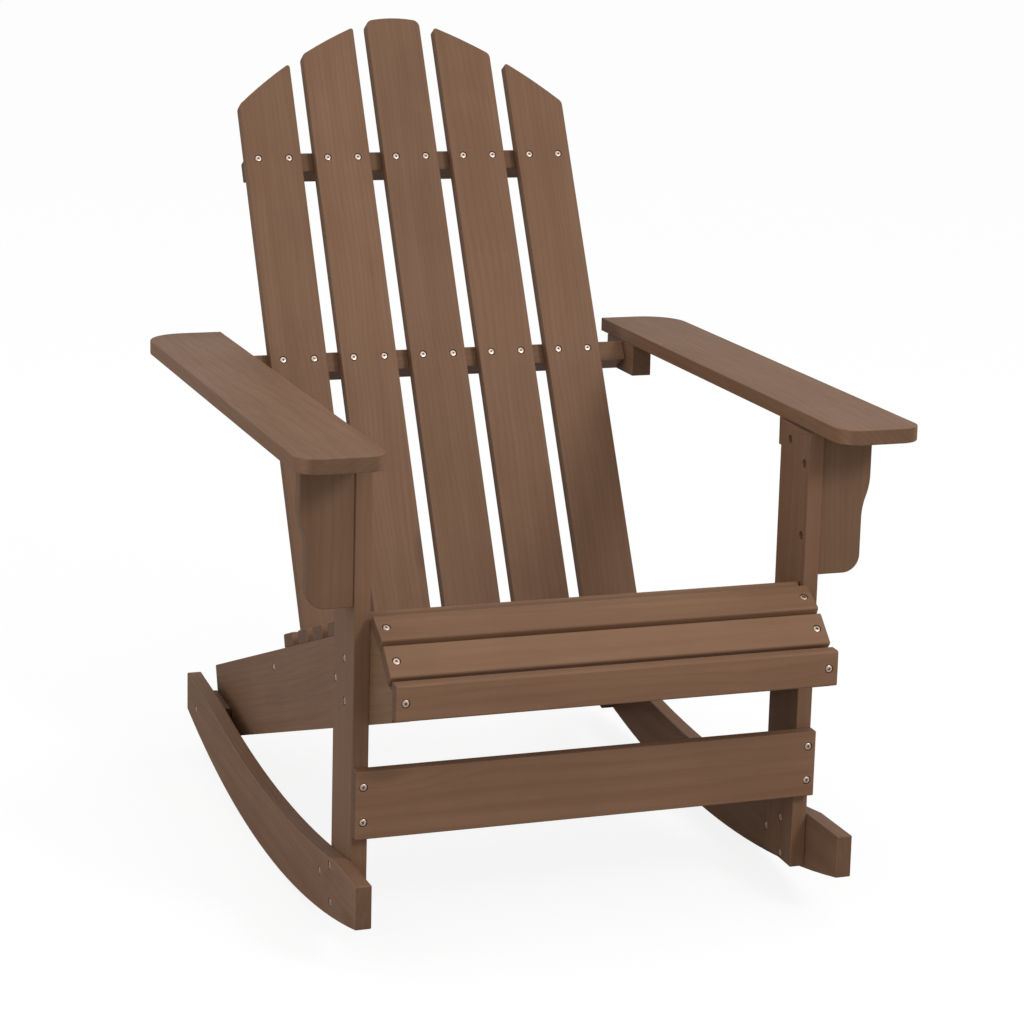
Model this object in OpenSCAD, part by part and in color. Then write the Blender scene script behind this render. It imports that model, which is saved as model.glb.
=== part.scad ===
// Outdoor rocking chair with a slatted seat and back, flat arms and curved runners
// Millimetres: X across the chair, Y from front to back, Z up from the floor
// The origin is on the floor, in the middle of the chair's overall width and depth

/* [Boards] */
// Thickness of the legs, runners, rear feet and arm brackets
board_thickness = 18; // [15:0.5:22]
// Thickness of the two rails that carry the seat
rail_thickness = 20; // [17:0.5:24]
// Thickness of the arms
arm_thickness = 17; // [14:0.5:22]

/* [Overall] */
// Clear width between the front legs
seat_width = 498; // [470:1:540]
// Height of the crown of the back above the floor
total_height = 920; // [880:1:970]

/* [Runners] */
// Length of a runner from front to back
runner_length = 792; // [760:0.5:830]
// How far a runner reaches ahead of the legs
runner_reach = 84.5; // [70:0.5:95]
// Radius of the curve that the chair rocks on
runner_radius = 1620; // [1400:10:2000]
// Radius of a runner's hollow upper edge
runner_top_radius = 2080; // [1950:10:2600]
// Height of a runner board at its middle
runner_waist = 72; // [66:1:80]
// Height of a runner's ends above its lowest point
runner_end_height = 97; // [90:0.5:102]
// Straight stretch of the upper edge at the front end
runner_front_flat = 82; // [70:1:90]
// Straight stretch of the upper edge at the rear end
runner_rear_flat = 121; // [100:1:130]
// How far behind the legs' front edges the chair touches the floor
touch_y = 326; // [318:1:334]
// How far legs, rails and feet stop above the runners' lower edges
runner_reveal = 3; // [1:0.5:5]

/* [Front legs] */
// Width of a front leg
leg_width = 78; // [70:1:90]
// Height of the board across the front of the legs
stretcher_height = 76; // [60:1:90]
// Thickness of the board across the front of the legs
stretcher_thickness = 15; // [12:0.5:20]
// Height of the lower edge of that board above the floor
stretcher_bottom = 125.5; // [115:0.5:140]

/* [Seat] */
// Height of the rails' upper edges at the front of the legs
seat_height = 357; // [345:1:375]
// Slope of the seat down to the back, in degrees
seat_slope = 19.9; // [18:0.1:21]
// Depth of a rail at the front of the legs
rail_depth = 109; // [100:1:118]
// How much less the rails' lower edges slope, in degrees
rail_taper = 0.8; // [0:0.1:1.2]
// Width of a seat slat
seat_slat_width = 40; // [36:0.5:44]
// Thickness of a seat slat
seat_slat_thickness = 16; // [13:0.5:18]
// Gap between two seat slats
seat_slat_gap = 27.4; // [22:0.2:29]
// Slope of the slat over the rails' bend, in degrees
nose_upper_slope = 25; // [20:0.5:30]
// Slope of the slat in front of it, in degrees
nose_lower_slope = 41.3; // [36:0.1:46]
// Depth of the step between the lower nose slat and the rails' front faces
nose_shelf = 15; // [12:0.5:20]
// How far the apron slat stands up past that step
apron_rise = 10.5; // [6:0.5:12]

/* [Back] */
// Lean of the back from upright, in degrees
recline = 30; // [27:0.5:32]
// Distance behind the legs' front edges where the back meets the rails' upper edges
back_position = 393.8; // [389:0.1:404]
// Clear space between the back's sides and the rails
back_side_space = 15.5; // [8:0.5:22]
// Gap between two back slats
back_slat_gap = 18; // [10:0.5:19]
// Thickness of a back slat
back_slat_thickness = 16; // [13:0.5:20]
// Radius of the middle slat's arched upper end
crown_radius = 160; // [120:5:240]
// Radius of the middle slat's upper corners
crown_corner_radius = 10; // [6:0.5:14]
// How far the crest falls from the crown to the slats beside the middle one
crest_inner_drop = 12.5; // [8:0.5:16]
// How far the crest falls from the crown to its outer corners
crest_drop = 118; // [100:1:125]
// Radius of the crest on each side of the middle slat
crest_radius = 600; // [500:10:900]
// Radius of the other back slats' upper corners nearest the middle
inner_corner_radius = 3; // [1:0.5:5]
// Radius of their outer upper corners
outer_corner_radius = 9; // [5:0.5:12]

/* [Crossbars] */
// Height of a crossbar along the back
crossbar_height = 25; // [22:0.5:30]
// Depth of a crossbar behind the slats
crossbar_depth = 35.5; // [30:0.5:40]
// Distance from the crown down to the upper crossbar
upper_crossbar_drop = 178; // [165:1:200]
// How far the upper crossbar's ends stop short of the back's sides
upper_crossbar_setback = 6; // [2:0.5:10]

/* [Arms] */
// Height of the arms' upper faces at the front of the legs
arm_height = 559.2; // [550:0.1:580]
// Slope of the arms down to the back, in degrees
arm_slope = 1.3; // [0:0.1:3]
// Width of an arm
arm_width = 98; // [90:1:115]
// Length of an arm
arm_length = 752; // [740:1:790]
// How far an arm reaches ahead of the legs
arm_reach = 79; // [70:1:90]
// Radius of an arm's front corners
arm_front_radius = 26; // [15:1:40]
// Radius of an arm's outer rear corner
arm_rear_radius = 50; // [30:1:70]
// Width of the blocks under the arms
arm_block_width = 25; // [20:0.5:30]
// Height of the blocks under the arms
arm_block_height = 39; // [36:0.5:44]
// Length of the blocks under the arms
arm_block_length = 93; // [84:1:104]
// How far a bracket stands out from its leg
bracket_reach = 59.6; // [50:0.1:70]
// Height of a bracket below the arm
bracket_height = 164; // [140:1:190]
// Depth of the step in a bracket's curved edge
bracket_step = 8.6; // [4:0.1:14]

/* [Screws] */
// Diameter of a screw's head
screw_head_diameter = 8; // [7:0.1:9]
// Diameter of a screw's shank
screw_shank_diameter = 4; // [3.5:0.1:4.5]

/* [Hidden] */

// Overrun of every cut past the wood it leaves
overrun = 1;
// Gap at each end of a seat slat between the legs, and before the first nose slat
slat_clearance = 0.5;
// Distance from the rails' bend to the first flat seat slat
seat_slat_setback = 4;
// Gap between the two nose slats
nose_slat_gap = 2;
// Wood left on the rails past the lower nose slat
nose_margin = 1;
// How far the nose slats and the apron pass the rails' outer faces
nose_overhang = 0.5;
// Radius along the seat slats' upper edges
seat_slat_edge_radius = 3;
// Distance from the rails' rear corners to the runners' rear ends
rail_inset = 4;
// Distance from the rear feet to the runners' rear ends
foot_inset = 13;
// Length of a rear foot
foot_length = 78;
// How far the lower crossbar lies below the rails' upper edges
lower_crossbar_drop = 6;
// How far the back slats pass the lower crossbar
slat_tail = 17;
// Distance from the legs' inner faces to the arms' inner edges
arm_inset = 3;
// Setback of a bracket behind the leg's front edge
bracket_setback = 3;
// Straight part of a bracket's edge below the arm
bracket_shoulder = 52;
// Height of the curved part of a bracket's edge
bracket_curve_height = 50;
// Radius of a bracket's lower corner
bracket_corner_radius = 20;
// Setback of a front arm block behind the leg's front edge
front_block_setback = 33;

// Screw: height of the head, how deep it sits, its rim's slope and its tip
screw_head_height = 2;
screw_inset = 0.5;
screw_rim = 0.5;
screw_tip = 5;
// Clearance round a screw's shank and round its head
screw_clearance = 0.1;
screw_head_clearance = 0.8;
// Extra depth of the screw heads inside the legs
screw_sunk = 3.5;
// Lengths of the screws by what they join
back_screw_length = 40;
seat_screw_length = 35;
leg_screw_length = 34;
runner_screw_length = 32;
stretcher_screw_length = 45;
bracket_screw_length = 50;
front_block_screw_length = 38;
arm_screw_length = 50;
middle_crossbar_screw_length = 55;
lower_crossbar_screw_length = 42;

// Screw places, as shares of leg width and of the height that leg and rail or runner share
leg_rail_share = [[0.47, 0.71], [0.90, 0.53], [0.43, 0.27]];
runner_outer_share = [[0.25, 0.78], [0.77, 0.51], [0.20, 0.15]];
runner_inner_share = [[0.42, 0.77], [0.92, 0.44], [0.38, 0.11]];
// How far up beside the rail a rear foot reaches, as a share of the rail's depth there
foot_height_share = 0.42;
// Screw places along a rear foot, as shares of its length and of the runner waist
foot_outer_share = [0.54, 0.35];
// Screw places along a rear foot, as shares of its length and of its overlap with the rail
foot_inner_share = [[0.22, 0.5], [0.88, 0.72]];
// Screw places down the stretcher, as shares of its height
stretcher_share = [0.25, 0.77];
// Screw places down a bracket, as shares of its height
bracket_share = [0.23, 0.73];
// Screw places in the arm blocks, as shares of their length and height
block_leg_share = [0.21, 0.46];
front_block_share = [0.38, 0.86];
rear_block_share = [0.17, 0.83];
// Screw place across the lower crossbar's end, as a share of its depth
lower_crossbar_share = 0.2;
// Screw places across a back slat, as shares of its width each side of the middle
back_screw_share = 0.275;

// Faces across the chair, from the middle outwards
rail_outer = seat_width / 2;
rail_inner = rail_outer - rail_thickness;
rail_middle = rail_outer - rail_thickness / 2;
leg_inner = seat_width / 2;
leg_outer = leg_inner + board_thickness;
leg_middle = leg_inner + board_thickness / 2;
runner_outer = leg_outer + board_thickness;
arm_inner = leg_inner + arm_inset;

// Runner: middle of the board, and its small turn to the balanced rest
runner_rear = runner_length - runner_reach;
runner_middle = runner_length / 2 - runner_reach;
runner_tilt = asin((touch_y - runner_middle) / runner_radius);
front_arc_end = runner_length / 2 - runner_front_flat;
rear_arc_end = runner_length / 2 - runner_rear_flat;

// Height of the legs' lower ends, cut square above the runners' lower edges
leg_bottom = runner_under(0) + runner_reveal;

// Seat: number of flat slats, how far two are apart, and the rails' nose
seat_slats = 6;
seat_slat_pitch = seat_slat_width + seat_slat_gap;
upper_facet = slat_clearance + seat_slat_width;
lower_facet = nose_slat_gap + seat_slat_width + nose_margin;
nose_corner = [-upper_facet * cos(nose_upper_slope), seat_height - upper_facet * sin(nose_upper_slope)];
shelf_corner = nose_corner - lower_facet * [cos(nose_lower_slope), sin(nose_lower_slope)];
nose_front = shelf_corner[0] - nose_shelf;
apron_top = shelf_corner[1] + apron_rise;
rail_rear = runner_rear - rail_inset;

// Rear feet: their front end, and the height of their upper faces
foot_front = runner_rear - foot_inset - foot_length;
foot_middle = foot_front + foot_length / 2;
foot_height = rail_low(foot_middle)
    + foot_height_share * (rail_top(foot_middle) - rail_low(foot_middle));

// Back: width of its five slats, which fill the space between the rails with four gaps
back_half_width = rail_inner - back_side_space;
back_slat_width = (2 * back_half_width - 4 * back_slat_gap) / 5;
back_slat_pitch = back_slat_width + back_slat_gap;

// Back: height of its foot, distance up to the crown, and the crossbars' places
back_foot_height = rail_top(back_position);
crown = (total_height - back_foot_height) / cos(recline);
crossbar_middle = back_slat_thickness + crossbar_depth / 2;
upper_crossbar_place = crown - upper_crossbar_drop - crossbar_height / 2;
middle_crossbar_place = (arm_under(0) - arm_block_height / 2 - back_foot_height
    + crossbar_middle * sin(recline)
    - tan(arm_slope) * (back_position + crossbar_middle * cos(recline)))
    / (cos(recline) + tan(arm_slope) * sin(recline));
lower_crossbar_place = (back_slat_thickness * (sin(recline) - tan(seat_slope) * cos(recline))
    - lower_crossbar_drop) / (cos(recline) + tan(seat_slope) * sin(recline)) - crossbar_height / 2;
crossbar_places = [upper_crossbar_place, middle_crossbar_place, lower_crossbar_place];
slat_bottom = lower_crossbar_place - crossbar_height / 2 - slat_tail;

// Crest: centre of the arched crown, and of the circle through each side's two end corners
crown_centre = [0, crown - crown_radius];
crest_start = [back_slat_pitch - back_slat_width / 2, crown - crest_inner_drop];
crest_end = [back_half_width, crown - crest_drop];
crest_chord = norm(crest_end - crest_start);
crest_rise = sqrt(pow(crest_radius, 2) - pow(crest_chord / 2, 2));
crest_along = (crest_end - crest_start) / crest_chord;
crest_centre = (crest_start + crest_end) / 2 + crest_rise * [crest_along[1], -crest_along[0]];

// Arms: blocks and brackets
rear_block_middle = back_y(middle_crossbar_place, crossbar_middle);
bracket_curve_radius = (pow(bracket_curve_height, 2) + pow(bracket_step, 2)) / (4 * bracket_step);

// Middle of the overall depth, which lies above the origin
middle_depth = (nose_front - seat_slat_thickness + back_y(crown, back_slat_thickness)) / 2;

function rail_top(y) = seat_height - y * tan(seat_slope);
function rail_under(y) = seat_height - rail_depth - y * tan(seat_slope - rail_taper);
function rail_low(y) = max(rail_under(y), runner_under(y) + runner_reveal);
function arm_under(y) = arm_height - arm_thickness / cos(arm_slope) - y * tan(arm_slope);
function runner_under(y) = runner_radius - sqrt(pow(runner_radius, 2) - pow(y - touch_y, 2));
function runner_top(u) = runner_waist + runner_top_radius - sqrt(pow(runner_top_radius, 2) - pow(u, 2));
function back_y(up, behind) = back_position + up * sin(recline) + behind * cos(recline);
function back_z(up, behind) = back_foot_height + up * cos(recline) - behind * sin(recline);

// Frames that the pieces are drawn in
module placed() {
    translate([0, -middle_depth, 0]) children();
}

module both_sides() {
    children();
    mirror([1, 0, 0]) children();
}

// Outline in Y and Z, extruded across the chair from a face at x
module board(x, thickness) {
    translate([x, 0, 0]) rotate([90, 0, 90]) linear_extrude(thickness) children();
}

module on_seat() {
    translate([0, 0, seat_height]) rotate([-seat_slope, 0, 0]) children();
}

module on_upper_nose() {
    translate([0, 0, seat_height]) rotate([nose_upper_slope, 0, 0])
        translate([0, -upper_facet, 0]) children();
}

module on_lower_nose() {
    translate([0, nose_corner[0], nose_corner[1]]) rotate([nose_lower_slope, 0, 0])
        translate([0, -nose_slat_gap - seat_slat_width, 0]) children();
}

module on_apron() {
    translate([0, nose_front, apron_top - seat_slat_width]) rotate([90, 0, 0]) children();
}

module on_back() {
    translate([0, back_position, back_foot_height]) rotate([-recline, 0, 0]) children();
}

module on_arm() {
    translate([0, 0, arm_height]) rotate([-arm_slope, 0, 0]) children();
}

// Waste outside a rounded corner, whose wood lies towards minus x and minus y
module corner_waste(radius) {
    difference() {
        translate([-radius, -radius]) square(radius + overrun);
        translate([-radius, -radius]) circle(radius, $fn = 64);
    }
}

// Everything above the arms' lower faces
module above_arm_under() {
    on_arm() translate([0, -arm_reach - overrun, -arm_thickness])
        cube([leg_outer + arm_width + bracket_reach, arm_length + 2 * overrun, arm_thickness + overrun]);
}

// Round disc that ends on the curve above the runners' lower edges
module reveal_circle() {
    translate([touch_y, runner_radius]) circle(runner_radius - runner_reveal, $fn = 360);
}

// Screws, with the head just below the face and the tip along plus z
module screw(length) {
    head = screw_head_diameter / 2;
    shank = screw_shank_diameter / 2;
    seat = screw_inset + screw_head_height;
    rotate_extrude($fn = 16) polygon([[0, screw_inset], [head - screw_rim, screw_inset],
        [head, screw_inset + screw_rim], [head, seat], [shank, seat], [shank, length - screw_tip],
        [0, length]]);
}

module screw_hole(length) {
    translate([0, 0, -overrun - screw_sunk])
        cylinder(overrun + screw_sunk + screw_inset + screw_head_height,
            d = screw_head_diameter + 2 * screw_head_clearance, $fn = 16);
    cylinder(length + screw_clearance, d = screw_shank_diameter + 2 * screw_clearance, $fn = 16);
}

// Screw places
module at_leg_rail_screws() {
    for (share = leg_rail_share) {
        y = share[0] * leg_width;
        z = rail_under(y) + share[1] * (rail_top(y) - rail_under(y));
        translate([leg_outer, y, z]) rotate([0, -90, 0]) children();
    }
}

module at_leg_foot(x, shares) {
    for (share = shares) {
        y = share[0] * leg_width;
        translate([x, y, leg_bottom + share[1] * (runner_under(y) + runner_waist - leg_bottom)]) children();
    }
}

module at_runner_outer_screws() {
    at_leg_foot(runner_outer, runner_outer_share) rotate([0, -90, 0]) children();
}

module at_runner_inner_screws() {
    at_leg_foot(leg_inner, runner_inner_share) rotate([0, 90, 0]) children();
}

module at_foot_outer_screw() {
    y = foot_front + foot_outer_share[0] * foot_length;
    translate([runner_outer, y, runner_under(y) + foot_outer_share[1] * runner_waist])
        rotate([0, -90, 0]) children();
}

module at_foot_inner_screws() {
    for (share = foot_inner_share) {
        y = foot_front + share[0] * foot_length;
        z = rail_low(y) + share[1] * (foot_height - rail_low(y));
        translate([rail_inner, y, z]) rotate([0, 90, 0]) children();
    }
}

module at_stretcher_screws() {
    for (share = stretcher_share)
        translate([leg_middle, -stretcher_thickness, stretcher_bottom + share * stretcher_height])
            rotate([-90, 0, 0]) children();
}

module at_seat_screws(number) {
    on_seat() translate([rail_middle, seat_slat_setback + (number - 1) * seat_slat_pitch
        + seat_slat_width / 2, seat_slat_thickness]) rotate([180, 0, 0]) children();
}

module at_slat_middle() {
    translate([rail_middle, seat_slat_width / 2, seat_slat_thickness]) rotate([180, 0, 0]) children();
}

module at_back_screws(place, column) {
    for (side = [-1, 1])
        on_back() translate([column * back_slat_pitch + side * back_screw_share * back_slat_width, 0, place])
            rotate([-90, 0, 0]) children();
}

module at_bracket_screws() {
    for (share = bracket_share)
        translate([leg_inner + screw_sunk, bracket_setback + board_thickness / 2,
            arm_under(bracket_setback) - share * bracket_height]) rotate([0, 90, 0]) children();
}

module at_block_leg_screw() {
    y = front_block_setback + block_leg_share[0] * arm_block_length;
    translate([leg_inner + screw_sunk, y, arm_under(y) - block_leg_share[1] * arm_block_height])
        rotate([0, 90, 0]) children();
}

module at_block_arm_screws(x, front, shares) {
    on_arm() for (share = shares)
        translate([x + arm_block_width / 2, front + share * arm_block_length,
            -arm_thickness - arm_block_height]) children();
}

module at_front_block_screws() {
    at_block_arm_screws(leg_outer, front_block_setback, front_block_share) children();
}

module at_rear_block_screws() {
    at_block_arm_screws(arm_inner, rear_block_middle - arm_block_length / 2, rear_block_share) children();
}

module at_middle_crossbar_screw() {
    translate([arm_inner + arm_block_width, rear_block_middle,
        back_z(middle_crossbar_place, crossbar_middle)]) rotate([0, -90, 0]) children();
}

module at_lower_crossbar_screw() {
    behind = back_slat_thickness + lower_crossbar_share * crossbar_depth;
    translate([rail_outer, back_y(lower_crossbar_place, behind), back_z(lower_crossbar_place, behind)])
        rotate([0, -90, 0]) children();
}

// Runner: a board between two arcs, straight along its upper edge near the ends
module runner_outline() {
    difference() {
        intersection() {
            polygon([[-runner_length / 2, 0], [runner_length / 2, 0],
                [runner_length / 2, runner_end_height], [rear_arc_end, runner_top(rear_arc_end)],
                [-front_arc_end, runner_top(front_arc_end)], [-runner_length / 2, runner_end_height]]);
            translate([0, runner_radius]) circle(runner_radius, $fn = 360);
        }
        translate([0, runner_waist + runner_top_radius]) circle(runner_top_radius, $fn = 360);
    }
}

module runner() {
    color("saddlebrown") difference() {
        board(leg_outer, board_thickness) translate([touch_y, runner_radius]) rotate(-runner_tilt)
            translate([0, -runner_radius]) runner_outline();
        at_runner_outer_screws() screw_hole(runner_screw_length);
        at_runner_inner_screws() screw_hole(runner_screw_length);
        at_foot_outer_screw() screw_hole(runner_screw_length);
    }
}

// Front leg: an upright board, cut square at its lower end, that reaches up to the arm
module front_leg() {
    color("sienna") difference() {
        board(leg_inner, board_thickness)
            translate([0, leg_bottom]) square([leg_width, arm_under(0) - leg_bottom]);
        above_arm_under();
        at_leg_rail_screws() screw_hole(leg_screw_length);
        at_runner_outer_screws() screw_hole(runner_screw_length);
        at_runner_inner_screws() screw_hole(runner_screw_length);
        at_stretcher_screws() screw_hole(stretcher_screw_length);
        at_bracket_screws() screw_hole(bracket_screw_length);
        at_block_leg_screw() screw_hole(front_block_screw_length);
    }
}

// Seat rail: a sloping board with a stepped nose, cut square at the rear
module rail_outline() {
    rear_cut = (rail_top(rail_rear) - rail_under(rail_rear))
        / (cos(seat_slope) + tan(seat_slope - rail_taper) * sin(seat_slope));
    intersection() {
        polygon([[0, seat_height], nose_corner, shelf_corner, [nose_front, shelf_corner[1]],
            [nose_front, rail_under(nose_front)],
            [rail_rear - rear_cut * sin(seat_slope), rail_top(rail_rear) - rear_cut * cos(seat_slope)],
            [rail_rear, rail_top(rail_rear)]]);
        reveal_circle();
    }
}

module seat_rail() {
    color("peru") difference() {
        board(rail_inner, rail_thickness) rail_outline();
        at_leg_rail_screws() screw_hole(leg_screw_length);
        at_foot_inner_screws() screw_hole(runner_screw_length);
        for (number = [1 : seat_slats]) at_seat_screws(number) screw_hole(seat_screw_length);
        on_upper_nose() at_slat_middle() screw_hole(seat_screw_length);
        on_lower_nose() at_slat_middle() screw_hole(seat_screw_length);
        on_apron() at_slat_middle() screw_hole(seat_screw_length);
        at_lower_crossbar_screw() screw_hole(lower_crossbar_screw_length);
    }
}

// Rear foot: the block between rail and runner
module rear_foot() {
    color("sienna") difference() {
        board(leg_inner, board_thickness) intersection() {
            translate([foot_front, 0]) square([foot_length, foot_height]);
            reveal_circle();
        }
        at_foot_outer_screw() screw_hole(runner_screw_length);
        at_foot_inner_screws() screw_hole(runner_screw_length);
    }
}

module front_stretcher() {
    color("peru") difference() {
        translate([-leg_outer, -stretcher_thickness, stretcher_bottom])
            cube([2 * leg_outer, stretcher_thickness, stretcher_height]);
        both_sides() at_stretcher_screws() screw_hole(stretcher_screw_length);
    }
}

// Seat slat: a flat bar whose two upper edges are rounded
module slat_bar(half_length) {
    board(-half_length, 2 * half_length) difference() {
        square([seat_slat_width, seat_slat_thickness]);
        translate([seat_slat_width, seat_slat_thickness]) corner_waste(seat_slat_edge_radius);
        translate([0, seat_slat_thickness]) mirror([1, 0]) corner_waste(seat_slat_edge_radius);
    }
}

module seat_slat(number) {
    color("burlywood") difference() {
        on_seat() translate([0, seat_slat_setback + (number - 1) * seat_slat_pitch, 0])
            slat_bar(seat_width / 2 - slat_clearance);
        both_sides() at_seat_screws(number) screw_hole(seat_screw_length);
    }
}

module nose_slat() {
    difference() {
        slat_bar(rail_outer + nose_overhang);
        both_sides() at_slat_middle() screw_hole(seat_screw_length);
    }
}

module upper_nose_slat() {
    color("burlywood") on_upper_nose() nose_slat();
}

module lower_nose_slat() {
    color("burlywood") on_lower_nose() nose_slat();
}

module apron_slat() {
    color("burlywood") on_apron() nose_slat();
}

// Waste outside the rounded corner where a slat's side, at x, meets the arc over it
module arc_corner_waste(x, side, arc_centre, arc_radius, radius) {
    centre_x = x - side * radius;
    reach = arc_radius - radius;
    centre = [centre_x, arc_centre[1] + sqrt(pow(reach, 2) - pow(centre_x - arc_centre[0], 2))];
    meeting = arc_centre + (centre - arc_centre) * (arc_radius + overrun) / reach;
    difference() {
        polygon([centre, [x + side * overrun, centre[1]], [x + side * overrun, crown + overrun], meeting]);
        translate(centre) circle(radius, $fn = 48);
    }
}

// Outline of a back slat under an arc, in X and up the back, with its left and right corners rounded
module slat_outline(column, arc_centre, arc_radius, left_radius, right_radius) {
    left = column * back_slat_pitch - back_slat_width / 2;
    difference() {
        intersection() {
            translate([left, slat_bottom]) square([back_slat_width, crown - slat_bottom]);
            union() {
                translate(arc_centre) circle(arc_radius, $fn = 360);
                translate([left, slat_bottom]) square([back_slat_width, arc_centre[1] - slat_bottom]);
            }
        }
        arc_corner_waste(left, -1, arc_centre, arc_radius, left_radius);
        arc_corner_waste(left + back_slat_width, 1, arc_centre, arc_radius, right_radius);
    }
}

module middle_slat_outline() {
    slat_outline(0, crown_centre, crown_radius, crown_corner_radius, crown_corner_radius);
}

module side_slat_outline(column) {
    slat_outline(column, crest_centre, crest_radius, inner_corner_radius, outer_corner_radius);
}

module back_slat(column) {
    color("burlywood") difference() {
        on_back() translate([0, back_slat_thickness, 0]) rotate([90, 0, 0])
            linear_extrude(back_slat_thickness) {
                if (column == 0) middle_slat_outline();
                if (column > 0) side_slat_outline(column);
                if (column < 0) mirror([1, 0]) side_slat_outline(-column);
            }
        for (place = crossbar_places) at_back_screws(place, column) screw_hole(back_screw_length);
    }
}

// Crossbars: straight bars behind the slats
module crossbar(half_length, place) {
    on_back() translate([-half_length, back_slat_thickness, place - crossbar_height / 2])
        cube([2 * half_length, crossbar_depth, crossbar_height]);
}

module back_screw_holes(place) {
    for (column = [-2 : 2]) at_back_screws(place, column) screw_hole(back_screw_length);
}

module upper_crossbar() {
    color("peru") difference() {
        crossbar(back_half_width - upper_crossbar_setback, upper_crossbar_place);
        back_screw_holes(upper_crossbar_place);
    }
}

module middle_crossbar() {
    color("peru") difference() {
        crossbar(arm_inner, middle_crossbar_place);
        back_screw_holes(middle_crossbar_place);
        both_sides() at_middle_crossbar_screw() screw_hole(middle_crossbar_screw_length);
    }
}

module lower_crossbar() {
    color("peru") difference() {
        crossbar(rail_inner, lower_crossbar_place);
        back_screw_holes(lower_crossbar_place);
        both_sides() at_lower_crossbar_screw() screw_hole(lower_crossbar_screw_length);
    }
}

// Arm: a flat board, rounded at the front and at the outer rear corner
module arm() {
    color("chocolate") difference() {
        on_arm() translate([arm_inner, -arm_reach, -arm_thickness])
            linear_extrude(arm_thickness) difference() {
                square([arm_width, arm_length]);
                translate([arm_width, arm_length]) corner_waste(arm_rear_radius);
                translate([arm_width, 0]) mirror([0, 1]) corner_waste(arm_front_radius);
                mirror([1, 0]) mirror([0, 1]) corner_waste(arm_front_radius);
            }
        at_front_block_screws() screw_hole(arm_screw_length);
        at_rear_block_screws() screw_hole(arm_screw_length);
    }
}

// Arm bracket: an upright board beside the leg, whose outer edge steps in along two arcs
module bracket_outline() {
    low = arm_under(0) - bracket_height;
    top = arm_under(0) - bracket_shoulder;
    bottom = top - bracket_curve_height;
    middle = (top + bottom) / 2;
    inset = bracket_reach - bracket_step;
    difference() {
        translate([0, low]) square([inset, bottom - low]);
        translate([inset, low]) mirror([0, 1]) corner_waste(bracket_corner_radius);
    }
    difference() {
        translate([0, bottom]) square([bracket_reach, middle - bottom]);
        translate([inset + bracket_curve_radius, bottom]) circle(bracket_curve_radius, $fn = 180);
    }
    intersection() {
        translate([0, middle]) square([bracket_reach, top - middle]);
        translate([bracket_reach - bracket_curve_radius, top]) circle(bracket_curve_radius, $fn = 180);
    }
    translate([0, top]) square([bracket_reach, bracket_shoulder]);
}

module arm_bracket() {
    color("sienna") difference() {
        translate([leg_outer, bracket_setback + board_thickness, 0]) rotate([90, 0, 0])
            linear_extrude(board_thickness) bracket_outline();
        above_arm_under();
        at_bracket_screws() screw_hole(bracket_screw_length);
    }
}

// Blocks under the arms: beside the leg at the front, at the crossbar's end at the rear
module arm_block(x, front) {
    on_arm() translate([x, front, -arm_thickness - arm_block_height])
        cube([arm_block_width, arm_block_length, arm_block_height]);
}

module arm_front_block() {
    color("peru") difference() {
        arm_block(leg_outer, front_block_setback);
        at_front_block_screws() screw_hole(arm_screw_length);
        at_block_leg_screw() screw_hole(front_block_screw_length);
    }
}

module arm_rear_block() {
    color("peru") difference() {
        arm_block(arm_inner, rear_block_middle - arm_block_length / 2);
        at_rear_block_screws() screw_hole(arm_screw_length);
        at_middle_crossbar_screw() screw_hole(middle_crossbar_screw_length);
    }
}

// Screws, grouped by what they hold
module back_slat_screws() {
    color("silver") for (place = crossbar_places, column = [-2 : 2])
        at_back_screws(place, column) screw(back_screw_length);
}

module seat_slat_screws() {
    color("silver") both_sides() {
        for (number = [1 : seat_slats]) at_seat_screws(number) screw(seat_screw_length);
        on_upper_nose() at_slat_middle() screw(seat_screw_length);
        on_lower_nose() at_slat_middle() screw(seat_screw_length);
        on_apron() at_slat_middle() screw(seat_screw_length);
    }
}

module leg_rail_screws() {
    color("silver") both_sides() at_leg_rail_screws() screw(leg_screw_length);
}

module leg_runner_screws() {
    color("silver") both_sides() {
        at_runner_outer_screws() screw(runner_screw_length);
        at_runner_inner_screws() screw(runner_screw_length);
    }
}

module foot_screws() {
    color("silver") both_sides() {
        at_foot_outer_screw() screw(runner_screw_length);
        at_foot_inner_screws() screw(runner_screw_length);
    }
}

module stretcher_screws() {
    color("silver") both_sides() at_stretcher_screws() screw(stretcher_screw_length);
}

module arm_support_screws() {
    color("silver") both_sides() {
        at_bracket_screws() screw(bracket_screw_length);
        at_block_leg_screw() screw(front_block_screw_length);
        at_front_block_screws() screw(arm_screw_length);
        at_rear_block_screws() screw(arm_screw_length);
    }
}

module crossbar_screws() {
    color("silver") both_sides() {
        at_middle_crossbar_screw() screw(middle_crossbar_screw_length);
        at_lower_crossbar_screw() screw(lower_crossbar_screw_length);
    }
}

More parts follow.
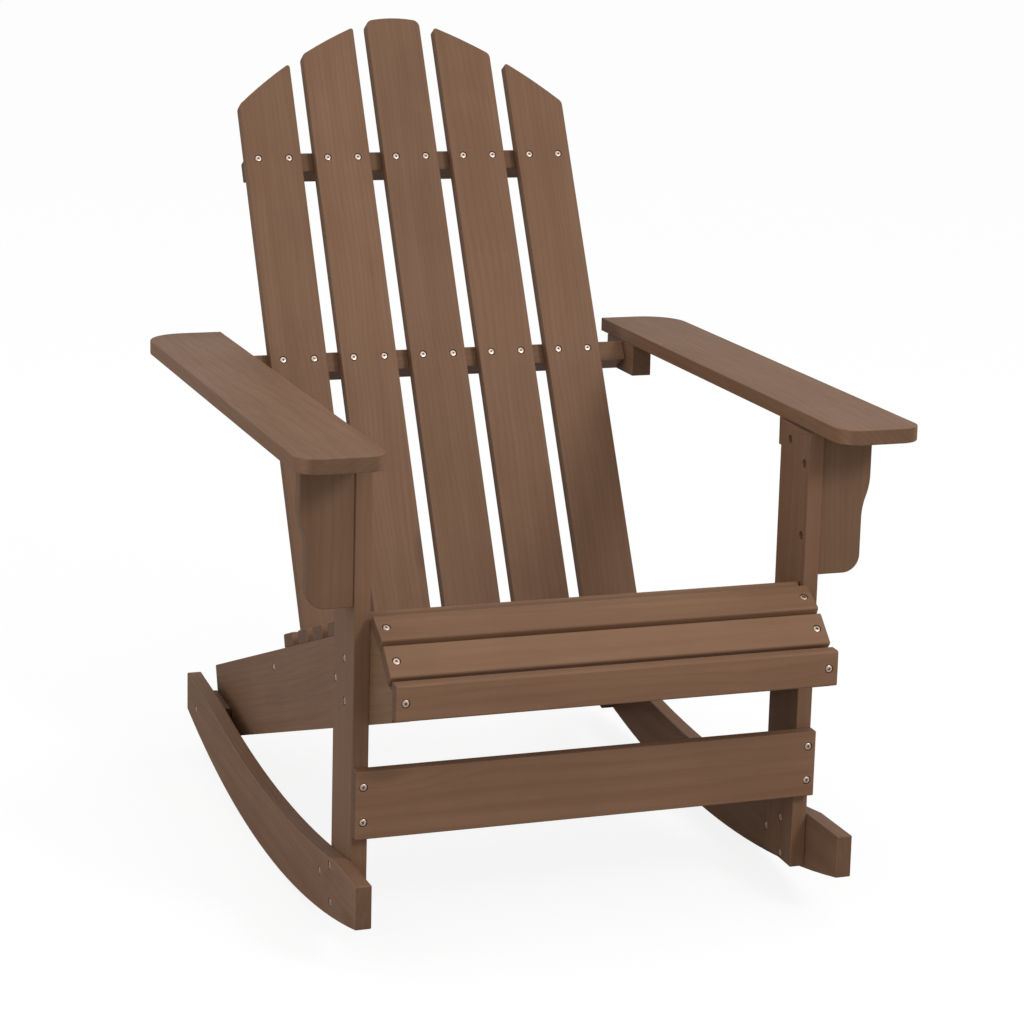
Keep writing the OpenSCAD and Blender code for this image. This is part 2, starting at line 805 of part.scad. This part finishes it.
placed() mirror([1, 0, 0]) runner();  // runner_left
placed() runner();  // runner_right
placed() mirror([1, 0, 0]) front_leg();  // front_leg_left
placed() front_leg();  // front_leg_right
placed() mirror([1, 0, 0]) seat_rail();  // seat_rail_left
placed() seat_rail();  // seat_rail_right
placed() mirror([1, 0, 0]) rear_foot();  // rear_foot_left
placed() rear_foot();  // rear_foot_right
placed() front_stretcher();
placed() apron_slat();
placed() lower_nose_slat();
placed() upper_nose_slat();
placed() seat_slat(1);  // seat_slat_1
placed() seat_slat(2);  // seat_slat_2
placed() seat_slat(3);  // seat_slat_3
placed() seat_slat(4);  // seat_slat_4
placed() seat_slat(5);  // seat_slat_5
placed() seat_slat(6);  // seat_slat_6
placed() back_slat(-2);  // back_slat_1
placed() back_slat(-1);  // back_slat_2
placed() back_slat(0);  // back_slat_3
placed() back_slat(1);  // back_slat_4
placed() back_slat(2);  // back_slat_5
placed() upper_crossbar();
placed() middle_crossbar();
placed() lower_crossbar();
placed() mirror([1, 0, 0]) arm();  // arm_left
placed() arm();  // arm_right
placed() mirror([1, 0, 0]) arm_bracket();  // arm_bracket_left
placed() arm_bracket();  // arm_bracket_right
placed() mirror([1, 0, 0]) arm_front_block();  // arm_front_block_left
placed() arm_front_block();  // arm_front_block_right
placed() mirror([1, 0, 0]) arm_rear_block();  // arm_rear_block_left
placed() arm_rear_block();  // arm_rear_block_right
placed() back_slat_screws();
placed() seat_slat_screws();
placed() leg_rail_screws();
placed() leg_runner_screws();
placed() foot_screws();
placed() stretcher_screws();
placed() arm_support_screws();
placed() crossbar_screws();
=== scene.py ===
import math

import bmesh
import bpy
import numpy as np
from mathutils import Matrix, Vector


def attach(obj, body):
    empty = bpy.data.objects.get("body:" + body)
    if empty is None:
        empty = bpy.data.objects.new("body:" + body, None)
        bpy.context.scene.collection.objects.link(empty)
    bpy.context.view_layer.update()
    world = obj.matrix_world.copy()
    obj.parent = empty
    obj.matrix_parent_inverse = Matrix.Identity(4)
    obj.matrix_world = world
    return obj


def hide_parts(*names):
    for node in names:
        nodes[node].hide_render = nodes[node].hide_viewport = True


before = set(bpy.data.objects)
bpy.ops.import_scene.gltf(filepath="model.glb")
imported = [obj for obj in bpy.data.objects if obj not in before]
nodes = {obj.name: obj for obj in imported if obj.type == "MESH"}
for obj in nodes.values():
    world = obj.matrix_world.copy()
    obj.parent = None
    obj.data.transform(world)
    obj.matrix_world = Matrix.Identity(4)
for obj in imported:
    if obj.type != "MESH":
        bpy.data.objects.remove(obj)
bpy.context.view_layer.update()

MM = 0.001
QUARTER_TURN = math.pi / 2

# Directions of the chair, as in the construction: slopes from level or lean from upright
SEAT_SLOPE = math.radians(19.9)
UPPER_NOSE_SLOPE = math.radians(25)
LOWER_NOSE_SLOPE = math.radians(41.3)
RECLINE = math.radians(30)

ACROSS = Vector((1, 0, 0))
DEPTH = Vector((0, 1, 0))
UP = Vector((0, 0, 1))
DOWN_SEAT = Vector((0, math.cos(SEAT_SLOPE), -math.sin(SEAT_SLOPE)))
UP_BACK = Vector((0, math.sin(RECLINE), math.cos(RECLINE)))


class Nodes:
    """Adds nodes to one tree and links values or sockets to their inputs."""

    def __init__(self, tree):
        self.tree = tree
        self.tree.nodes.clear()

    def put(self, target, value):
        if isinstance(value, bpy.types.NodeSocket):
            self.tree.links.new(value, target)
        else:
            target.default_value = value

    def add(self, kind, inputs=(), **settings):
        node = self.tree.nodes.new(kind)
        for key, value in settings.items():
            setattr(node, key, value)
        for key, value in dict(inputs).items():
            self.put(node.inputs[key], value)
        return node

    def math(self, operation, a, b=0.0):
        return self.add("ShaderNodeMath", {0: a, 1: b}, operation=operation).outputs[0]

    def times(self, a, b):
        return self.math("MULTIPLY", a, b)

    def plus(self, a, b):
        return self.math("ADD", a, b)

    def dot(self, vector, direction):
        node = self.add("ShaderNodeVectorMath", {0: vector, 1: direction}, operation="DOT_PRODUCT")
        return node.outputs["Value"]

    def combine(self, x, y, z):
        return self.add("ShaderNodeCombineXYZ", {0: x, 1: y, 2: z}).outputs[0]

    def range(self, value, low, high, to_low=0.0, to_high=1.0):
        """A smooth step from to_low, where the value is low, to to_high, where it is high."""
        inputs = {0: value, 1: low, 2: high, 3: to_low, 4: to_high}
        return self.add("ShaderNodeMapRange", inputs, interpolation_type="SMOOTHSTEP").outputs[0]

    def noise(self, vector, scale=1.0, detail=3.0, roughness=0.55):
        inputs = {"Vector": vector, "Scale": scale, "Detail": detail, "Roughness": roughness}
        return self.add("ShaderNodeTexNoise", inputs).outputs[0]

    def mix(self, factor, a, b, blend="MIX"):
        # The node's colour sockets are its inputs 6 and 7 and its output 2
        node = self.add("ShaderNodeMix", {"Factor": factor}, data_type="RGBA", blend_type=blend)
        self.put(node.inputs[6], a)
        self.put(node.inputs[7], b)
        return node.outputs[2]

    def bump(self, height, distance, strength, normal=None):
        inputs = {"Height": height, "Distance": distance, "Strength": strength}
        if normal is not None:
            inputs["Normal"] = normal
        return self.add("ShaderNodeBump", inputs).outputs[0]


def new_material(name):
    """An empty node material, and the helper that fills its tree."""
    material = bpy.data.materials.new(name)
    material.use_nodes = True
    return material, Nodes(material.node_tree)


# Colours of the stain: usual, thicker, thinner, and over a knot. The thinner one is also the colour
# of the painted highlight along the edges
STAIN = (0.213, 0.112, 0.062, 1)
STAIN_DARK = (0.160, 0.079, 0.041, 1)
STAIN_LIGHT = (0.240, 0.132, 0.076, 1)
KNOT = (0.126, 0.063, 0.033, 1)

# Patterns in the wood: texture scales, the same all round or along the grain, across the face and
# through the board
KNOT_CELLS = (3.2, 9.0, 2.0)
WANDER_WAVES = (2.2, 9.0, 1.0)
FIBRE_WAVES = (9.0, 420.0, 420.0)
STREAK_WAVES = (2.5, 60.0, 60.0)
BLOTCH_WAVES = 7.0
RING_WAVES = 48.0

# Knots: the share of cells without one, how unevenly cells lie, and, in cells, how far from its
# middle a knot bends the rings and shows itself
CELLS_WITHOUT_KNOT = 0.72
CELL_UNEVENNESS = 0.9
KNOT_REACH = (0.42, 0.0)
KNOT_SIZE = (0.13, 0.03)

# Growth rings: the heart's depth below the board, how far rings wander and bend, their stretch
# along the grain and their unevenness
HEART_DEPTH = 55 * MM
RING_WANDER = 45 * MM
RING_BEND = 12 * MM
RING_STRETCH = 0.05
RING_DISTORTION = {"Distortion": 1.6, "Detail": 2.0, "Detail Scale": 3.0, "Detail Roughness": 0.6}

# Where each pattern begins and ends to show, and its largest share of the colour
STREAK_LIMITS = (0.30, 0.72)
RING_LIMITS, RING_SHARE = (0.45, 1.0), 0.25
FIBRE_LIMITS, FIBRE_SHARE = (0.58, 0.80), 0.34
BLOTCH_LIMITS, BLOTCH_SHARE = (0.62, 0.36), 0.22
# The edges' lighter colour is a painted highlight
EDGE_HIGHLIGHT_LIMITS, EDGE_HIGHLIGHT_SHARE = (0.985, 0.80), 0.30
EDGE_RADIUS = 1.6 * MM
KNOT_SHARE = 0.55
END_GRAIN_LIMITS, END_GRAIN_TONE = (0.70, 0.95), 0.68

# Surface of the wood: roughness, and the height and strength of each relief
WOOD_SPECULAR = 0.22
FIBRE_ROUGHNESS_LIMITS = (0.35, 0.75)
WOOD_ROUGHNESS = (0.54, 0.66)
EDGE_SMOOTHNESS = 0.04
RING_RELIEF = (0.05 * MM, 0.5)
FIBRE_RELIEF = (0.06 * MM, 0.55)
KNOT_RELIEF = (0.10 * MM, 0.4)


def stretched(n, place, waves):
    """A place in the wood, scaled by a number of its own in each direction."""
    return n.combine(*(n.times(value, wave) for value, wave in zip(place, waves)))


def knots(n, place):
    """A few oval knots: how near one is, and the knot itself."""
    cells = n.add("ShaderNodeTexVoronoi", {"Vector": stretched(n, place, KNOT_CELLS), "Scale": 1.0,
        "Randomness": CELL_UNEVENNESS}).outputs
    chance = n.add("ShaderNodeSeparateColor", {0: cells["Color"]}).outputs[0]
    chosen = n.math("GREATER_THAN", chance, CELLS_WITHOUT_KNOT)
    near_knot = n.times(n.range(cells["Distance"], *KNOT_REACH), chosen)
    knot = n.times(n.range(cells["Distance"], *KNOT_SIZE), chosen)
    return near_knot, knot


def growth_rings(n, place, near_knot):
    """Rings round a heart that lies below the board. They bend round the knots."""
    u, v, w = place
    wander = n.noise(stretched(n, place, WANDER_WAVES), detail=2.0)
    ring_v = n.plus(v, n.times(wander, RING_WANDER))
    ring_w = n.plus(n.plus(w, HEART_DEPTH), n.times(near_knot, RING_BEND))
    inputs = {"Vector": n.combine(n.times(u, RING_STRETCH), ring_v, ring_w), "Scale": RING_WAVES}
    rings = n.add("ShaderNodeTexWave", inputs | RING_DISTORTION, wave_type="RINGS",
        rings_direction="X", wave_profile="SAW")
    return rings.outputs["Fac"]


def wood(name, along, across, start, tone):
    """Brown satin stain over wood with its grain along one direction, cut from a place of its own."""
    material, n = new_material(name)
    position = n.add("ShaderNodeTexCoord").outputs["Object"]
    directions = (along, across, along.cross(across))
    place = [n.plus(n.dot(position, way), shift) for way, shift in zip(directions, start)]

    near_knot, knot = knots(n, place)
    rings = growth_rings(n, place, near_knot)
    fibres = n.noise(stretched(n, place, FIBRE_WAVES), detail=4.0, roughness=0.65)
    streaks = n.noise(stretched(n, place, STREAK_WAVES), detail=3.0, roughness=0.6)
    blotches = n.noise(position, BLOTCH_WAVES, detail=3.0, roughness=0.6)

    # Edges, lightened as a painted highlight on their rounding
    rounded = n.add("ShaderNodeBevel", {"Radius": EDGE_RADIUS}, samples=4).outputs[0]
    flat = n.add("ShaderNodeNewGeometry").outputs["Normal"]
    edge = n.range(n.dot(rounded, flat), *EDGE_HIGHLIGHT_LIMITS)

    colour = n.mix(n.range(streaks, *STREAK_LIMITS), STAIN, STAIN_LIGHT)
    dark_patterns = ((rings, RING_LIMITS, RING_SHARE), (fibres, FIBRE_LIMITS, FIBRE_SHARE),
        (blotches, BLOTCH_LIMITS, BLOTCH_SHARE))
    for pattern, limits, share in dark_patterns:
        colour = n.mix(n.times(n.range(pattern, *limits), share), colour, STAIN_DARK)
    colour = n.mix(n.times(knot, KNOT_SHARE), colour, KNOT)
    # Painted highlight: the rounded edges turn towards the paler stain
    colour = n.mix(n.times(edge, EDGE_HIGHLIGHT_SHARE), colour, STAIN_LIGHT)

    # End grain, which takes up more stain
    facing = n.math("ABSOLUTE", n.dot(flat, along))
    depth = n.range(facing, *END_GRAIN_LIMITS, tone, tone * END_GRAIN_TONE)
    colour = n.mix(1.0, colour, n.combine(depth, depth, depth), "MULTIPLY")

    roughness = n.range(fibres, *FIBRE_ROUGHNESS_LIMITS, *WOOD_ROUGHNESS)
    roughness = n.plus(roughness, n.times(edge, -EDGE_SMOOTHNESS))
    normal = None
    for pattern, relief in ((rings, RING_RELIEF), (fibres, FIBRE_RELIEF), (knot, KNOT_RELIEF)):
        normal = n.bump(pattern, *relief, normal)
    shader = n.add("ShaderNodeBsdfPrincipled", {"Base Color": colour, "Roughness": roughness,
        "Normal": normal, "Specular IOR Level": WOOD_SPECULAR})
    n.add("ShaderNodeOutputMaterial", {0: shader.outputs[0]})
    return material


# Plated steel: its usual and dull colours, the painted shade in its recess, and its patterns and
# surface
STEEL = (0.78, 0.61, 0.51, 1)
STEEL_DULL = (0.60, 0.45, 0.36, 1)
RECESS_PAINTED_SHADE = (0.05, 0.03, 0.02, 1)
STEEL_GRAIN_WAVES = 900.0
STEEL_SPOT_WAVES = 260.0
STEEL_SPOT_LIMITS = (0.45, 0.75)
SHADE_DISTANCE = 1.6 * MM
SHADE_LIMITS = (0.80, 0.35)
STEEL_GRAIN_LIMITS = (0.3, 0.75)
STEEL_ROUGHNESS = (0.30, 0.46)
STEEL_RELIEF = (0.03 * MM, 0.4)


def steel(name):
    """Warm plated steel with a fine grain, small dull spots and painted shade in its recess."""
    material, n = new_material(name)
    position = n.add("ShaderNodeTexCoord").outputs["Object"]
    grain = n.noise(position, STEEL_GRAIN_WAVES, detail=3.0, roughness=0.6)
    spots = n.noise(position, STEEL_SPOT_WAVES, detail=2.0, roughness=0.5)
    shade = n.add("ShaderNodeAmbientOcclusion", {"Distance": SHADE_DISTANCE}, samples=8).outputs["AO"]
    colour = n.mix(n.range(spots, *STEEL_SPOT_LIMITS), STEEL, STEEL_DULL)
    # Painted shade: darker in the recess, where ambient occlusion finds it
    colour = n.mix(n.range(shade, *SHADE_LIMITS), colour, RECESS_PAINTED_SHADE)
    roughness = n.range(grain, *STEEL_GRAIN_LIMITS, *STEEL_ROUGHNESS)
    normal = n.bump(grain, *STEEL_RELIEF)
    shader = n.add("ShaderNodeBsdfPrincipled", {"Base Color": colour, "Metallic": 1.0,
        "Roughness": roughness, "Normal": normal})
    n.add("ShaderNodeOutputMaterial", {0: shader.outputs[0]})
    return material


# Each board: its kind, which sets its tone, the grain's direction and the direction across its face
SEAT_SLATS = 6
BACK_SLATS = 5
BOARDS = {}
for side in ("left", "right"):
    BOARDS["runner_" + side] = ("runners", DEPTH, UP)
    BOARDS["front_leg_" + side] = ("legs", UP, DEPTH)
    BOARDS["seat_rail_" + side] = ("rails", DOWN_SEAT, ACROSS.cross(DOWN_SEAT))
    BOARDS["rear_foot_" + side] = ("blocks", DEPTH, UP)
    BOARDS["arm_" + side] = ("arms", DEPTH, ACROSS)
    BOARDS["arm_bracket_" + side] = ("brackets", UP, ACROSS)
    BOARDS["arm_front_block_" + side] = ("blocks", DEPTH, UP)
    BOARDS["arm_rear_block_" + side] = ("blocks", DEPTH, UP)
for board in ("front_stretcher", "apron_slat"):
    BOARDS[board] = ("seat_slats", ACROSS, UP)
for board, slope in (("upper_nose_slat", UPPER_NOSE_SLOPE), ("lower_nose_slat", LOWER_NOSE_SLOPE)):
    BOARDS[board] = ("seat_slats", ACROSS, Vector((0, math.cos(slope), math.sin(slope))))
for number in range(1, SEAT_SLATS + 1):
    BOARDS["seat_slat_%d" % number] = ("seat_slats", ACROSS, DOWN_SEAT)
for number in range(1, BACK_SLATS + 1):
    BOARDS["back_slat_%d" % number] = ("back_slats", UP_BACK, ACROSS)
for board in ("upper_crossbar", "middle_crossbar", "lower_crossbar"):
    BOARDS[board] = ("crossbars", ACROSS, UP_BACK)

# Eased edges of the boards: their width and steps, and what counts as one point, as a flat face, as
# a sharp or crisp edge and as a bore
EASED_EDGE = 1.3 * MM
EASED_STEPS = 3
SAME_POINT = 0.01 * MM
FLAT_TURN = math.radians(0.5)
SHARP_EDGE = math.radians(40)
CRISP_EDGE = math.radians(15)
BORE_TURN = (math.radians(-32), math.radians(-4))
BORE_STEP = 1.0 * MM
ANY_SHARE = 0.001


def outline_edges():
    """Modifier nodes that mark the sharp edges of a board, apart from the rims of its bores."""
    tree = bpy.data.node_groups.new("outline_edges", "GeometryNodeTree")
    for way in ("INPUT", "OUTPUT"):
        tree.interface.new_socket("Geometry", in_out=way, socket_type="NodeSocketGeometry")
    n = Nodes(tree)
    board = n.add("NodeGroupInput").outputs[0]
    angle = n.add("GeometryNodeInputMeshEdgeAngle").outputs
    sharp = n.math("GREATER_THAN", angle["Unsigned Angle"], SHARP_EDGE)

    # A bore's rim is made of short edges that meet the hollow wall's own edges
    wall = n.times(n.math("GREATER_THAN", angle["Signed Angle"], BORE_TURN[0]),
        n.math("LESS_THAN", angle["Signed Angle"], BORE_TURN[1]))
    for domain in ("EDGE", "POINT"):
        wall = n.add("GeometryNodeFieldOnDomain", {0: wall}, domain=domain,
            data_type="FLOAT").outputs[0]
    ends = n.add("GeometryNodeInputMeshEdgeVertices").outputs
    step = n.add("ShaderNodeVectorMath", {0: ends["Position 1"], 1: ends["Position 2"]},
        operation="DISTANCE").outputs["Value"]
    rim = n.times(n.math("GREATER_THAN", wall, ANY_SHARE), n.math("LESS_THAN", step, BORE_STEP))

    # The outline is to be eased. The bores' rims and blunt corners stay crisp in the shading
    weight = n.times(sharp, n.math("SUBTRACT", 1.0, rim))
    crisp = n.times(n.math("GREATER_THAN", angle["Unsigned Angle"], CRISP_EDGE),
        n.math("SUBTRACT", 1.0, weight))
    inputs = {"Geometry": board, "Name": "custom_normal"}
    board = n.add("GeometryNodeRemoveAttribute", inputs).outputs[0]
    marks = (("bevel_weight_edge", "FLOAT", weight), ("sharp_edge", "BOOLEAN", crisp))
    for attribute, kind, value in marks:
        inputs = {"Geometry": board, "Name": attribute, "Value": value}
        board = n.add("GeometryNodeStoreNamedAttribute", inputs, data_type=kind,
            domain="EDGE").outputs[0]
    inputs = {"Geometry": board, "Shade Smooth": True}
    board = n.add("GeometryNodeSetShadeSmooth", inputs).outputs[0]
    n.add("NodeGroupOutput", {0: board})
    return tree


OUTLINE_EDGES = outline_edges()

# Tone of the stain on some kinds of board, set against the others, and its swing between boards. The
# brackets' lower tone is painted shade instead, for the arms' shadow on them
TONES = {
    "arms": 1.02,
    "back_slats": 0.94,
    # Painted shade from the arms above the brackets
    "brackets": 0.82,
    "legs": 0.92,
    "seat_slats": 0.97,
}
TONE_SWING = 0.03
TONE_STEP_ANGLE = 2.4

# Where in the wood each board is cut: steps from board to board, and how many steps make a round
CUT_ALONG = 830 * MM
CUT_ACROSS = 37 * MM
CUT_ACROSS_START = -100 * MM
CUT_THROUGH = 11 * MM
CUTS_ACROSS = 7
CUTS_THROUGH = 5


def finish_board(number, name, slot, along, across):
    """Eases the board's edges and gives it its own stretch of wood."""
    board = nodes[name]
    start = (CUT_ALONG * number, CUT_ACROSS * (number % CUTS_ACROSS) + CUT_ACROSS_START,
        CUT_THROUGH * (number % CUTS_THROUGH))
    tone = TONES.get(slot, 1.0) + TONE_SWING * math.sin(TONE_STEP_ANGLE * number)
    board.data.materials.clear()
    board.data.materials.append(wood("wood_" + name, along, across, start, tone))
    weld = board.modifiers.new("weld", "WELD")
    weld.merge_threshold = SAME_POINT
    flat = board.modifiers.new("flat_faces", "DECIMATE")
    flat.decimate_type = "DISSOLVE"
    flat.angle_limit = FLAT_TURN
    board.modifiers.new("outline_edges", "NODES").node_group = OUTLINE_EDGES
    bevel = board.modifiers.new("eased_edges", "BEVEL")
    bevel.width = EASED_EDGE
    bevel.segments = EASED_STEPS
    bevel.limit_method = "WEIGHT"
    bevel.use_clamp_overlap = False
    bevel.harden_normals = True


for number, (name, (slot, along, across)) in enumerate(BOARDS.items()):
    finish_board(number, name, slot, along, across)

# Screws: a domed head with a cross recess, and a pointed shank
HEAD_RADIUS = 4.3 * MM
HEAD_HEIGHT = 2.0 * MM
HEAD_RIM = 0.8 * MM
DOME_RADII = (0, 2.0 * MM, 3.0 * MM, 3.7 * MM, 4.1 * MM, HEAD_RADIUS)
DOME_HEIGHTS = (0.48 * MM, 0.42 * MM, 0.29 * MM, 0.07 * MM, -0.30 * MM, -HEAD_RIM)
SHANK_RADIUS = 2.0 * MM
TIP_LENGTH = 5.0 * MM
RECESS_RADIUS = 2.2 * MM
RECESS_WIDTH = 1.3 * MM
RECESS_DEPTH = 1.3 * MM
RECESS_TOP = 0.9 * MM
RECESS_TAPER = 0.35
TURNS = 24
SCREW_CRISP_EDGE = math.radians(35)


def revolve(profile, turns):
    """Mesh of a profile of radii and heights turned round the Z axis, closed at both ends."""
    mesh = bmesh.new()
    rings = []
    for radius, height in profile:
        if radius == 0:
            rings.append([mesh.verts.new((0, 0, height))])
            continue
        angles = [2 * math.pi * k / turns for k in range(turns)]
        ring = [(radius * math.cos(a), radius * math.sin(a), height) for a in angles]
        rings.append([mesh.verts.new(point) for point in ring])
    for upper, lower in zip(rings, rings[1:]):
        for k in range(turns):
            corners = [upper[k % len(upper)], lower[k % len(lower)],
                lower[(k + 1) % len(lower)], upper[(k + 1) % len(upper)]]
            face = list(dict.fromkeys(corners))
            if len(face) > 2:
                mesh.faces.new(face)
    return mesh


def object_of(name, mesh):
    """Puts a bmesh into the scene as an object, and frees it."""
    data = bpy.data.meshes.new(name)
    mesh.to_mesh(data)
    mesh.free()
    made = bpy.data.objects.new(name, data)
    bpy.context.scene.collection.objects.link(made)
    return made


def recess_cutter():
    """Two crossed wedges that narrow towards the bottom, half as much in width as in length."""
    mesh = bmesh.new()
    for turned in (False, True):
        corners = []
        for height, share in ((RECESS_TOP, 1.0), (-RECESS_DEPTH, RECESS_TAPER)):
            x, y = RECESS_RADIUS * share, RECESS_WIDTH / 2 * (0.5 + share / 2)
            if turned:
                x, y = y, x
            corners.append([mesh.verts.new((sx * x, sy * y, height))
                for sx, sy in ((-1, -1), (1, -1), (1, 1), (-1, 1))])
        top, bottom = corners
        mesh.faces.new(top)
        mesh.faces.new(bottom[::-1])
        for k in range(4):
            mesh.faces.new((top[k], bottom[k], bottom[(k + 1) % 4], top[(k + 1) % 4]))
    bmesh.ops.recalc_face_normals(mesh, faces=mesh.faces)
    return mesh


def screw_mesh(length):
    """One screw with the middle of its head's top at the origin and its tip down the Z axis."""
    profile = list(zip(DOME_RADII, DOME_HEIGHTS))
    profile += [(HEAD_RADIUS, -HEAD_HEIGHT), (SHANK_RADIUS, -HEAD_HEIGHT),
        (SHANK_RADIUS, TIP_LENGTH - length), (0, -length)]
    body = object_of("screw_body", revolve(profile, TURNS))
    cutter = object_of("screw_cutter", recess_cutter())
    cut = body.modifiers.new("recess", "BOOLEAN")
    cut.object = cutter
    cut.operation = "DIFFERENCE"
    cut.use_self = True
    shape = body.evaluated_get(bpy.context.evaluated_depsgraph_get()).to_mesh().copy()
    bpy.data.objects.remove(body)
    bpy.data.objects.remove(cutter)
    return shape


def loose_parts(points, triangles):
    """Groups of point numbers, one for each separate solid."""
    # Each point takes the lowest number in its triangles, until nothing changes
    label = np.arange(len(points))
    while True:
        low = label[triangles].min(1)
        new = label.copy()
        for k in range(3):
            np.minimum.at(new, triangles[:, k], low)
        new = new[new]
        if (new == label).all():
            return [np.flatnonzero(label == k) for k in np.unique(label)]
        label = new


def screw_places(node):
    """Length of each of a node's screws, and a matrix that puts a screw there."""
    mesh = node.data
    points = np.array([v.co for v in mesh.vertices])
    steps = np.round(points / SAME_POINT).astype(int)
    keys, index = np.unique(steps, axis=0, return_inverse=True)
    points = keys * SAME_POINT
    mesh.calc_loop_triangles()
    triangles = index.ravel()[np.array([t.vertices[:] for t in mesh.loop_triangles])]
    lengths, places = [], []
    for part in loose_parts(points, triangles):
        own = points[part]
        middle = own.mean(0)

        # A screw is longest along its axis, and its tip is the point that is furthest out
        axis = np.linalg.svd(own - middle)[2][0]
        along = (own - middle) @ axis
        tip = own[np.argmax(np.abs(along))]
        if (tip - middle) @ axis > 0:
            axis = -axis
        lengths.append(((own - tip) @ axis).max())
        head = tip + lengths[-1] * axis
        turn = Vector(axis).to_track_quat("Z", "Y").to_matrix().to_4x4()
        places.append(Matrix.Translation(Vector(head)) @ turn)
    return lengths, places


def screws_for(name, material, seed):
    """Detailed screws that stand for one node of the construction's plain ones."""
    lengths, places = screw_places(nodes[name])
    spin = np.random.default_rng(seed)
    shapes = {}
    joined = bmesh.new()
    for length, place in zip(lengths, places):
        # Screws of one length, to the millimetre, share a shape
        key = round(length / MM)
        if key not in shapes:
            shapes[key] = screw_mesh(length)
        piece = shapes[key].copy()
        piece.transform(place @ Matrix.Rotation(spin.uniform(0, QUARTER_TURN), 4, "Z"))
        joined.from_mesh(piece)
        bpy.data.meshes.remove(piece)
    made = object_of("detailed_" + name, joined)
    made.data.materials.append(material)
    for polygon in made.data.polygons:
        polygon.use_smooth = True
    made.data.set_sharp_from_angle(angle=SCREW_CRISP_EDGE)
    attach(made, "root")
    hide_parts(name)


metal = steel("plated_steel")
SCREW_NODES = [name for name in sorted(nodes) if name.endswith("_screws")]
for seed, name in enumerate(SCREW_NODES):
    screws_for(name, metal, seed)

# Camera: where the photograph was taken from, in metres, radians and pixels of the photograph
CAMERA_PLACE = Vector((-1.1127, -3.3184, 1.2769))
CAMERA_YAW = 0.37131
CAMERA_PITCH = 0.21446
CAMERA_ROLL = 0.03513
PICTURE_SIZE = 1024
FOCAL_PIXELS = 3034.83
CENTRE_PIXEL = (634.25, 403.15)
SENSOR_WIDTH = 36

lens = bpy.data.cameras.new("camera")
lens.sensor_width = SENSOR_WIDTH
lens.lens = FOCAL_PIXELS / PICTURE_SIZE * SENSOR_WIDTH
lens.shift_x = (PICTURE_SIZE / 2 - CENTRE_PIXEL[0]) / PICTURE_SIZE
lens.shift_y = (CENTRE_PIXEL[1] - PICTURE_SIZE / 2) / PICTURE_SIZE
camera = bpy.data.objects.new("camera", lens)
camera.matrix_world = (Matrix.Translation(CAMERA_PLACE) @ Matrix.Rotation(-CAMERA_YAW, 4, "Z")
    @ Matrix.Rotation(QUARTER_TURN - CAMERA_PITCH, 4, "X") @ Matrix.Rotation(CAMERA_ROLL, 4, "Z"))
bpy.context.scene.collection.objects.link(camera)
bpy.context.scene.camera = camera

# Stage: a white floor that keeps a soft shadow, and white surroundings. The camera's own rays meet
# the values named SEEN, and all other rays the ones named ELSE
FLOOR_REACH = 12.0
FLOOR_GAP = 0.2 * MM
FLOOR_SEEN = (0.80, 0.80, 0.80, 1)
FLOOR_ELSE = (0.45, 0.45, 0.45, 1)
GLOW_STRENGTH = 1.12
GLOW_SHARE = 0.76
WHITE = (1, 1, 1, 1)
WORLD_SEEN = 1.0
WORLD_ELSE = 0.68

# Lights: place, the point each looks at, width in metres and power in watts
LIGHTS = {
    "overhead": ((0.3, -0.6, 3.2), (0, 0, 0.4), 2.4, 8),
    "key": ((1.3, -2.8, 2.2), (0, 0, 0.5), 0.8, 34),
    "left": ((-3.0, -1.2, 1.3), (0, 0, 0.5), 2.0, 15),
}


def floor_material():
    """Pale matte floor that glows for the camera alone, so that it shows white round the shadow."""
    material, n = new_material("stage_white")
    seen = n.add("ShaderNodeLightPath").outputs["Is Camera Ray"]
    pale = n.mix(seen, FLOOR_ELSE, FLOOR_SEEN)
    matte = n.add("ShaderNodeBsdfDiffuse", {"Color": pale}).outputs[0]
    glow = n.add("ShaderNodeEmission", {"Color": WHITE, "Strength": GLOW_STRENGTH}).outputs[0]
    mixed = n.add("ShaderNodeMixShader", {0: n.times(seen, GLOW_SHARE), 1: matte, 2: glow})
    n.add("ShaderNodeOutputMaterial", {0: mixed.outputs[0]})
    return material


def make_floor():
    """The floor lies just under the runners."""
    mesh = bmesh.new()
    bmesh.ops.create_grid(mesh, x_segments=2, y_segments=2, size=FLOOR_REACH)
    floor = object_of("floor", mesh)
    floor.location.z = -FLOOR_GAP
    floor.data.materials.append(floor_material())


def make_world():
    """White surroundings, which light the chair less than they show."""
    world = bpy.data.worlds.new("studio")
    bpy.context.scene.world = world
    world.use_nodes = True
    n = Nodes(world.node_tree)
    seen = n.add("ShaderNodeLightPath").outputs["Is Camera Ray"]
    strength = n.range(seen, 0.0, 1.0, WORLD_ELSE, WORLD_SEEN)
    background = n.add("ShaderNodeBackground", {"Color": WHITE, "Strength": strength})
    n.add("ShaderNodeOutputWorld", {0: background.outputs[0]})


def area_light(name, place, target, width, power):
    """A round lamp that looks at one point."""
    light = bpy.data.lights.new(name, "AREA")
    light.shape = "DISK"
    light.size = width
    light.energy = power
    lamp = bpy.data.objects.new(name, light)
    lamp.location = place
    toward = Vector(target) - Vector(place)
    lamp.rotation_euler = toward.to_track_quat("-Z", "Y").to_euler()
    bpy.context.scene.collection.objects.link(lamp)


make_floor()
make_world()
for name, settings in LIGHTS.items():
    area_light(name, *settings)
bpy.context.scene.view_settings.view_transform = "Standard"
